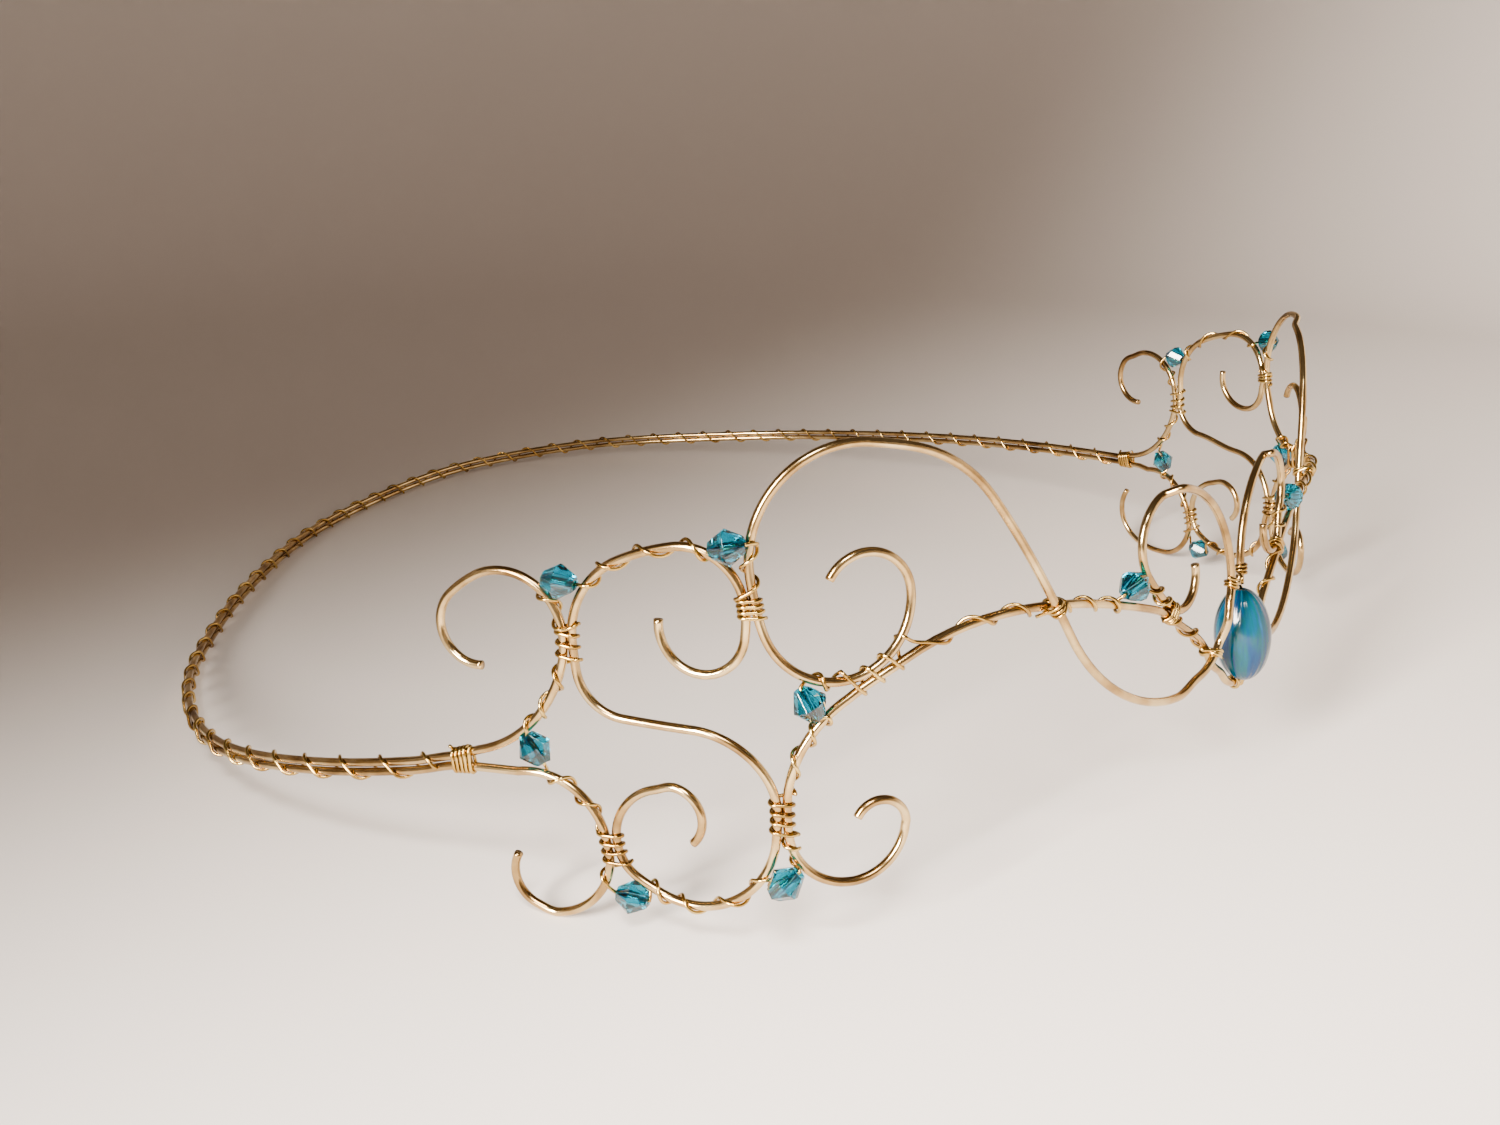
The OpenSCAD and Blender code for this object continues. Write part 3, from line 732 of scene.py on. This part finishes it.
# Points in one turn of thin wire, and rounds of pulling that make a coil hug its wires and a
# thread run straight between them
TURN_PARTS = 20
COIL_ROUNDS = 60
THREAD_ROUNDS = 14
# A thread between two stretches has a point about this often
JOINT_STEP = 0.3
# How far a thread stands off its wires changes at every ninth point
SLACK_PARTS = 9
# Points of the frame wires that are looked at around a point of thin wire
NEAR_POINTS = 3
# Points of a coil's end that a thread takes over
TAIL_POINTS = 3

frame_tree_points = [(p, line, i) for line in frame_lines.values() for i, p in enumerate(line.points)]
frame_tree = KDTree(len(frame_tree_points))
for k, (p, _, _) in enumerate(frame_tree_points):
    frame_tree.insert(p, k)
frame_tree.balance()


def bead_axis(bead, side):
    """Middle and direction of a faceted bead's hole."""
    along, up, out, angle = bead[side]
    reach = BICONE_L / 2
    step = (reach * math.cos(math.radians(angle)), reach * math.sin(math.radians(angle)))
    low = space(side * (along - step[0]), up - step[1], out)
    high = space(side * (along + step[0]), up + step[1], out)
    return (low + high) / 2, (high - low).normalized()


bead_axes = [bead_axis(bead, side) for bead in BEADS.values() for side in SIDES.values()]


def clear_of_wires(p, clearance):
    """Moves a point of thin wire out of the frame wires that it would cut."""
    for _, k, _ in frame_tree.find_n(p, NEAR_POINTS):
        _, line, i = frame_tree_points[k]
        for a, b in ((i - 1, i), (i, i + 1)):
            if a < 0 or b >= len(line.points):
                continue
            start, end = line.points[a], line.points[b]
            t = max(0, min(1, (p - start).dot(end - start) / (end - start).length_squared))
            foot = start.lerp(end, t)
            away = p - foot
            if 0 < away.length < clearance:
                p = foot + away.normalized() * clearance
    return p


def clear_of_beads(p):
    """Moves a point of thin wire out of the faceted beads, taken as two cones each."""
    half_l, half_d, half_flat = BICONE_L / 2, BICONE_D / 2, BICONE_FLAT_D / 2
    for middle, axis in bead_axes:
        h = (p - middle).dot(axis)
        if abs(h) > half_l:
            continue
        side_way = p - middle - axis * h
        needed = half_d + (half_flat - half_d) * abs(h) / half_l + THIN_D / 2
        if 0 < side_way.length < needed:
            p = middle + axis * h + side_way.normalized() * needed
    return p


def tightened(points, fixed, looseness, rounds=THREAD_ROUNDS):
    """Pulls the thin wire taut, so that it lies on the wires and runs straight between them."""
    for _ in range(rounds):
        pulled = list(points)
        for i in range(1, len(points) - 1):
            if fixed[i]:
                continue
            p = (points[i - 1] + 2 * points[i] + points[i + 1]) / 4
            pulled[i] = clear_of_beads(clear_of_wires(p, TOUCH + looseness[i]))
        points = pulled
    return points


def wound(line, side, stations, hand, across=0):
    """Turns of thin wire around a frame wire, which it crosses in front at whole turns.

    Columns of the stations: distance along the wall, height, turns made. The hand is 1 or -1, and
    across is half the distance between two frame wires that the turns go around together.
    """
    runs = [line.near(space(side * along, up)) for along, up, _ in stations]
    made = [turn for _, _, turn in stations]
    count = max(2, math.ceil((made[-1] - made[0]) * TURN_PARTS))
    points = []
    for i in range(count + 1):
        turn = made[0] + (made[-1] - made[0]) * i / count
        middle, lead, out = line.at(np.interp(turn, made, runs))
        left = out.cross(lead if runs[-1] > runs[0] else -lead)
        a = math.pi / 2 + hand * 2 * math.pi * turn
        wide = math.copysign(across, math.cos(a)) + TOUCH * math.cos(a)
        points.append(middle + wide * left + TOUCH * math.sin(a) * out)
    return points, False


def threaded(bead, side, from_high):
    """The straight stretch of thin wire through a bead's hole."""
    middle, axis = bead_axis(bead, side)
    axis = -axis if from_high else axis
    stick_out, parts = 0.15, 4
    reach = BICONE_L / 2 + stick_out
    return [middle + axis * reach * k / parts for k in range(-parts, parts + 1)], True


def linked(name, stretches, slack=0.1):
    """Joins stretches of thin wire with easy curves and pulls the whole taut.

    A wire wound by hand stands off by up to the slack, here more and there less.
    """
    rng = random.Random(name)
    points, fixed = [], []
    for stretch, held in stretches:
        if points:
            p, q = points[-1], stretch[0]
            d = (q - p).length
            leave = (points[-1] - points[-2]).normalized() * d
            reach = (stretch[1] - stretch[0]).normalized() * d
            count = max(2, math.ceil(d / JOINT_STEP))
            joint = [hermite(p, leave, q, reach, k / count) for k in range(1, count)]
            points += joint
            fixed += [False] * len(joint)
        points += stretch
        fixed += [held] * len(stretch)
    knots = [rng.uniform(0, slack) for _ in range(len(points) // SLACK_PARTS + 2)]
    looseness = list(np.interp(np.arange(len(points)) / SLACK_PARTS, range(len(knots)), knots))
    return tightened(points, fixed, looseness)


def coil_points(coil, side):
    """A coil: thin wire wound around the wires that it holds, then pulled tight on them."""
    along, up, base_out, degrees, across, through, turns, pitch = coil[side]
    axis = math.radians(degrees)
    r = WRAP_R + BINDING_FIT
    points = []
    count = round(turns * TURN_PARTS)
    for i in range(count + 1):
        # Half a step keeps each point off the planes where its place changes sides
        a = 2 * math.pi * (i + 0.5) / TURN_PARTS
        t = (i / TURN_PARTS - turns / 2) * pitch
        wide = math.copysign(across, math.cos(a)) + r * math.cos(a)
        deep = math.copysign(through, math.sin(a)) + r * math.sin(a)
        points.append(space(
            side * (along + t * math.cos(axis) - wide * math.sin(axis)),
            up + t * math.sin(axis) + wide * math.cos(axis),
            base_out + deep,
        ))
    return tightened(points, [False] * len(points), [0] * len(points), COIL_ROUNDS)


def thin_piece(name, points, *nodes):
    """A piece of thin wire, which stands for the nodes if there are any."""
    piece = wire_piece(name, points, THIN_D, THIN_SIDES, thin_brass, THIN_WEDGE)
    settle(piece, "binding_wire", *nodes)


coils = {}
for side_name, side in SIDES.items():
    for coil_name, coil in COILS.items():
        points = coil_points(coil, side)
        coils[side_name, coil_name] = points
        node_name = f"{side_name}_{coil_name}"
        thin_piece(node_name + "_coil", points, node_name)


def tail(side_name, coil_name, last, inward=False):
    """The end of a coil, from which a thread goes on or, inward, at which it arrives."""
    points = coils[side_name, coil_name]
    stretch = points[-TAIL_POINTS:] if last else points[TAIL_POINTS - 1::-1]
    return (stretch[::-1] if inward else stretch), True


def temple_thread(side_name, side):
    """From the temple binding through the temple bead, over the scroll, through the crest bead."""
    hook, scroll = frame_lines["upper_band_wire"], frame_lines[side_name + "_scroll_wire"]
    crest = frame_lines[side_name + "_crest_wire"]
    return [
        tail(side_name, "temple_binding", True),
        wound(hook, side, [(91.5, 15.6, 0), (92.8, 18.7, 1), (93.3, 19.6, 1.25)], -side),
        threaded(BEADS["temple"], side, True),
        wound(scroll, side, [
            (88.6, 19.9, -0.2), (88.2, 20.4, 0), (85.8, 22.4, 1), (80.9, 24.1, 2),
            (75.4, 24.2, 3), (73.9, 23.5, 3.6),
        ], side),
        threaded(BEADS["crest"], side, True),
        wound(crest, side, [(70.4, 24.4, -0.4), (70.4, 23.1, 0), (70.3, 20.1, 1)], side),
        tail(side_name, "crest_binding", True, True),
    ]


def fork_thread(side_name, side):
    """From the temple binding through the fork bead and along the lower hook to its binding."""
    upper, lower = frame_lines["upper_band_wire"], frame_lines["lower_band_wire"]
    return [
        tail(side_name, "temple_binding", False),
        wound(upper, side, [
            (92.0, 11.4, -0.4), (92.4, 10.4, 0), (94.6, 6.8, 1), (96.7, 4.6, 2), (97.0, 4.4, 2.1),
        ], -side),
        threaded(BEADS["fork"], side, True),
        wound(lower, side, [
            (95.6, -0.7, -0.5), (93.9, -1.1, 0), (90.7, -3.5, 1), (89.3, -6.2, 1.72),
        ], -side),
        tail(side_name, "hook_binding", True, True),
    ]


def hook_thread(side_name, side):
    """From the hook binding through the hook bead, along the scroll's foot and the curl bead."""
    lower, scroll = frame_lines["lower_band_wire"], frame_lines[side_name + "_scroll_wire"]
    return [
        tail(side_name, "hook_binding", False),
        wound(lower, side, [(88.7, -11.2, -0.5), (89.0, -12.5, 0), (89.0, -12.8, 0.1)], -side),
        threaded(BEADS["hook"], side, True),
        wound(scroll, side, [
            (84.4, -12.4, -0.5), (82.7, -13.4, 0), (79.6, -14.2, 1), (74.7, -13.1, 2),
            (71.4, -10.3, 3), (71.0, -9.9, 3.2),
        ], side),
        threaded(BEADS["curl"], side, False),
        wound(frame_lines["brow_wire"], side, [
            (68.0, -7.9, -0.5), (68.35, -6.9, 0), (68.4, -6.3, 0.3),
        ], -side),
        tail(side_name, "curl_binding", False, True),
    ]


def brow_thread(side_name, side):
    """From the curl binding up the brow wire, through the brow bead to the brow lashing."""
    brow, crest = frame_lines["brow_wire"], frame_lines[side_name + "_crest_wire"]
    return [
        tail(side_name, "curl_binding", True),
        wound(brow, side, [
            (68.2, -0.3, -0.6), (67.3, 1.8, 0), (65.4, 4.8, 1), (63.7, 6.4, 2), (63.6, 6.6, 2.1),
        ], -side),
        threaded(BEADS["brow"], side, False),
        wound(crest, side, [(64.6, 10.4, -0.4), (63.9, 10.1, 0), (62.5, 9.9, 0.6)], side),
        tail(side_name, "brow_lashing", False, True),
    ]


def brow_wrap(side_name, side):
    """From the brow lashing along the brow wire to the knot where the crest crosses it."""
    return [
        tail(side_name, "brow_lashing", True),
        wound(frame_lines["brow_wire"], side, [
            (52.3, 11.9, -0.25), (51.3, 12.2, 0), (45.5, 13.2, 1), (40.4, 13.2, 2), (39.2, 13.2, 2.3),
        ], side),
    ]


def front_thread(side_name, side):
    """From the crossing along the brow wire, through the front bead and down the front loop."""
    brow, crest = frame_lines["brow_wire"], frame_lines[side_name + "_crest_wire"]
    return [
        wound(brow, side, [
            (36.3, 12.8, -0.3), (35.0, 12.4, 0), (31.1, 11.6, 1), (27.3, 10.5, 2), (26.6, 10.2, 2.3),
        ], side),
        threaded(BEADS["front"], side, False),
        wound(crest, side, [(19.9, 10.9, -0.3), (19.3, 10.2, 0), (17.9, 8.6, 1), (17.4, 8.1, 1.3)], -side),
    ]


def dip_wrap(side_name, side):
    """Open turns along the brow wire between the two front knots."""
    return [wound(frame_lines["brow_wire"], side, [
        (17.0, 6.2, -0.4), (16.0, 5.6, 0), (12.2, 2.9, 1), (9.6, 0.9, 1.8),
    ], -side)]


THREADS = {
    "temple_thread": temple_thread,
    "fork_thread": fork_thread,
    "hook_thread": hook_thread,
    "brow_thread": brow_thread,
    "brow_wrap": brow_wrap,
    "front_thread": front_thread,
    "dip_wrap": dip_wrap,
}
for side_name, side in SIDES.items():
    for thread_name, stretches in THREADS.items():
        name = f"{side_name}_{thread_name}"
        thin_piece(name, linked(name, stretches(side_name, side)))


def band_wrap():
    """Open turns around both band wires, from one band binding to the other."""
    ends, turns = 108.6, 58
    middle = Line(band_run(ends, 0, FINE_RINGS))
    stations = [(ends, sag(ends), 0), (loop_l - ends, sag(ends), turns)]
    points = linked("band_wrap", [wound(middle, RIGHT, stations, 1, STRAND_GAP / 2)], slack=0.06)
    # The turns under the band's back lie on the ground and don't sink into it
    return [Vector((p.x, p.y, max(p.z, THIN_D / 2))) for p in points]


thin_piece("band_wrap", band_wrap())


def centre_thread():
    """From the right tie down through the long bead and round the brow wire under it."""
    stick_out, parts = 0.1, 6
    reach = CENTRE_BEAD_L / 2 + stick_out
    heights = [CENTRE_BEAD_UP + reach * (1 - 2 * k / parts) for k in range(parts + 1)]
    hole = [space(0, up, CENTRE_BEAD_OUT) for up in heights]
    foot = wound(frame_lines["brow_wire"], RIGHT, [(1.2, -7.3, -0.4), (-1.2, -7.3, 2)], 1)
    return linked("centre_thread", [tail("right", "bead_tie", False), (hole, True), foot], slack=0.05)


thin_piece("centre_thread", centre_thread(), "centre_bead_wire")


def tie_strand():
    """From the left tie to the mouth of the long bead, where it lies beside the other thread."""
    mouth = CENTRE_BEAD_UP + CENTRE_BEAD_L / 2
    # The strand's last points, over the mouth, and its distance from the thread in the hole
    heights, beside = (1.1, 0.75, 0.4), 0.44
    entry = [space(-beside, mouth + up, CENTRE_BEAD_OUT) for up in heights]
    return linked("tie_strand", [tail("left", "bead_tie", False), (entry, True)], slack=0.05)


thin_piece("left_tie_strand", tie_strand())


# Beads


def cut_bead(name, node):
    """A cut glass bead: the bicone's facets, with the cutter's fine ridge softened by polish."""
    # Facets meet at more than the ridge angle, and the strips of the hole's wall at less. The
    # parts of one facet lie within the flat angle
    flat_angle, ridge_angle = math.radians(2), math.radians(14)
    polish_w = 0.05 * MM
    # Faces with more corners belong to the tables around the hole, and their edges stay sharp
    facet_corners = 7
    bm = bmesh.new()
    bm.from_mesh(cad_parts[node].data)
    bmesh.ops.remove_doubles(bm, verts=bm.verts, dist=MERGE)
    bmesh.ops.dissolve_limit(bm, angle_limit=flat_angle, verts=bm.verts, edges=bm.edges)
    ridges = [
        e for e in bm.edges
        if len(e.link_faces) == 2 and e.calc_face_angle() > ridge_angle
        and all(len(face.verts) <= facet_corners for face in e.link_faces)
    ]
    bmesh.ops.bevel(
        bm, geom=ridges, offset=polish_w, segments=2, affect="EDGES", profile=0.5, material=-1,
        clamp_overlap=True,
    )
    piece = piece_from(bm, name, [teal_glass])
    settle(piece, "bead_glass", node)


for side_name in SIDES:
    for bead_name in BEADS:
        cut_bead(f"{side_name}_{bead_name}_cut_bead", f"{side_name}_{bead_name}_bead")


def long_bead():
    """The long centre bead: a drilled drop with shallow flutes that gather at its ends."""
    flutes, flute_depth = 18, 0.0675
    # Share of the way from the middle to an end at which the flutes are deepest
    deepest = 0.75
    around_parts, along_parts = 144, 40
    end_angle = math.acos(CENTRE_BEAD_HOLE_D / CENTRE_BEAD_D)
    bm = bmesh.new()
    profile = []
    for i in range(along_parts + 1):
        a = end_angle * (2 * i / along_parts - 1)
        spot = (CENTRE_BEAD_D / 2 * math.cos(a) * MM, 0, CENTRE_BEAD_L / 2 * math.sin(a) * MM)
        profile.append(bm.verts.new(spot))
    edges = [bm.edges.new(pair) for pair in zip(profile, profile[1:])]
    edges.append(bm.edges.new((profile[-1], profile[0])))
    bmesh.ops.spin(
        bm, geom=profile + edges, cent=(0, 0, 0), axis=(0, 0, 1), dvec=(0, 0, 0),
        angle=2 * math.pi, steps=around_parts, use_merge=True, use_duplicate=False,
    )
    bmesh.ops.remove_doubles(bm, verts=bm.verts, dist=MERGE)
    # The hole and its rims stay round within this radius
    round_r = 1.2 * CENTRE_BEAD_HOLE_D / 2 * MM
    half_l = CENTRE_BEAD_L / 2 * MM
    uv = bm.loops.layers.uv.new("UVMap")
    for face in bm.faces:
        turns = [math.atan2(loop.vert.co.y, loop.vert.co.x) / (2 * math.pi) for loop in face.loops]
        # A face over the seam counts on past it
        wraps = max(turns) - min(turns) > 0.5
        for loop, turn in zip(face.loops, turns):
            loop[uv].uv = (turn + 1 if wraps and turn < 0 else turn, loop.vert.co.z / half_l)
        face.smooth = True
    for v in bm.verts:
        r = v.co.xy.length
        if r < round_r:
            continue
        share = abs(v.co.z) / half_l
        gather = share**3 * (1 - share) / (deepest**3 * (1 - deepest))
        dip = flute_depth * MM * gather * (0.5 - 0.5 * math.cos(flutes * math.atan2(v.co.y, v.co.x)))
        v.co.xy *= (r - dip) / r
    bmesh.ops.recalc_face_normals(bm, faces=bm.faces)
    upright = rest_turn.to_4x4() @ Matrix.Rotation(-LEAN, 4, "X")
    place = space(0, CENTRE_BEAD_UP, CENTRE_BEAD_OUT) * MM
    bmesh.ops.transform(bm, matrix=Matrix.Translation(place) @ upright, verts=bm.verts)
    settle(piece_from(bm, "long_lustre_bead", [lustre]), "centre_glass", "centre_bead")


long_bead()


# Ground, light and camera, with their sizes in metres


def sweep():
    """A pale round card that curves up into a wall on all sides."""
    floor_r, wall_r, wall_h = 0.36, 0.62, 0.4
    bend_parts, around_parts = 12, 96
    bend = wall_r - floor_r
    bm = bmesh.new()
    spots = [(0.0, 0.0), (floor_r, 0.0)]
    for i in range(1, bend_parts + 1):
        a = math.pi / 2 * i / bend_parts
        spots.append((floor_r + bend * math.sin(a), bend * (1 - math.cos(a))))
    spots.append((wall_r, wall_h))
    profile = [bm.verts.new((x, 0, z)) for x, z in spots]
    edges = [bm.edges.new(pair) for pair in zip(profile, profile[1:])]
    bmesh.ops.spin(
        bm, geom=profile + edges, cent=(0, 0, 0), axis=(0, 0, 1), dvec=(0, 0, 0),
        angle=2 * math.pi, steps=around_parts, use_merge=True, use_duplicate=False,
    )
    bmesh.ops.remove_doubles(bm, verts=bm.verts, dist=MERGE)
    bmesh.ops.recalc_face_normals(bm, faces=bm.faces)
    for face in bm.faces:
        face.smooth = True
    ground = piece_from(bm, "card_sweep", [paper()])


def area_light(name, place, target, size, power, colour, spread):
    """A softbox with its width and height, power in watts and spread of its beam in degrees."""
    light = bpy.data.lights.new(name, "AREA")
    light.shape = "RECTANGLE"
    light.spread = math.radians(spread)
    light.size, light.size_y = size
    light.energy = power
    light.color = hex_colour(colour)[:3]
    lamp = bpy.data.objects.new(name, light)
    lamp.location = place
    lamp.rotation_euler = (Vector(target) - Vector(place)).to_track_quat("-Z", "Y").to_euler()
    lamp.visible_camera = False
    bpy.context.scene.collection.objects.link(lamp)


def soft_sky(strength):
    """The dim, warm room around the table."""
    world = bpy.data.worlds.new("soft_room")
    bpy.context.scene.world = world
    world.use_nodes = True
    tree = world.node_tree
    tree.nodes.clear()
    shine = add(tree, "ShaderNodeBackground", {"Color": hex_colour("#B9A48E"), "Strength": strength})
    add(tree, "ShaderNodeOutputWorld", links={"Surface": shine.outputs[0]})


def photo_camera():
    """The camera where it stood for the photograph: near the right temple, a little above."""
    # In millimetres and degrees, from a fit of the crown's outline to the photograph
    place = Vector((-151.43, -146.67, 85.96)) * MM
    heading, down, roll = math.radians(-48.51), math.radians(20.33), math.radians(-0.386)
    camera = bpy.data.objects.new("camera", bpy.data.cameras.new("camera"))
    camera.data.lens = 31.2
    camera.data.sensor_width = 36
    camera.data.clip_start = 0.01
    turn = (
        Matrix.Rotation(heading, 4, "Z") @ Matrix.Rotation(math.pi / 2 - down, 4, "X")
        @ Matrix.Rotation(roll, 4, "Z")
    )
    camera.matrix_world = Matrix.Translation(place) @ turn
    bpy.context.scene.collection.objects.link(camera)
    bpy.context.scene.camera = camera


sweep()
area_light(
    "window", place=(-0.50, -0.10, 0.25), target=(0.16, -0.28, 0.03), size=(0.16, 0.30),
    power=5.2, colour="#FFF4E8", spread=62,
)
area_light(
    "front", place=(-0.26, -0.20, 0.34), target=(-0.14, -0.11, 0.0), size=(0.14, 0.14),
    power=0.30, colour="#FFF8F0", spread=42,
)
soft_sky(0.27)
photo_camera()
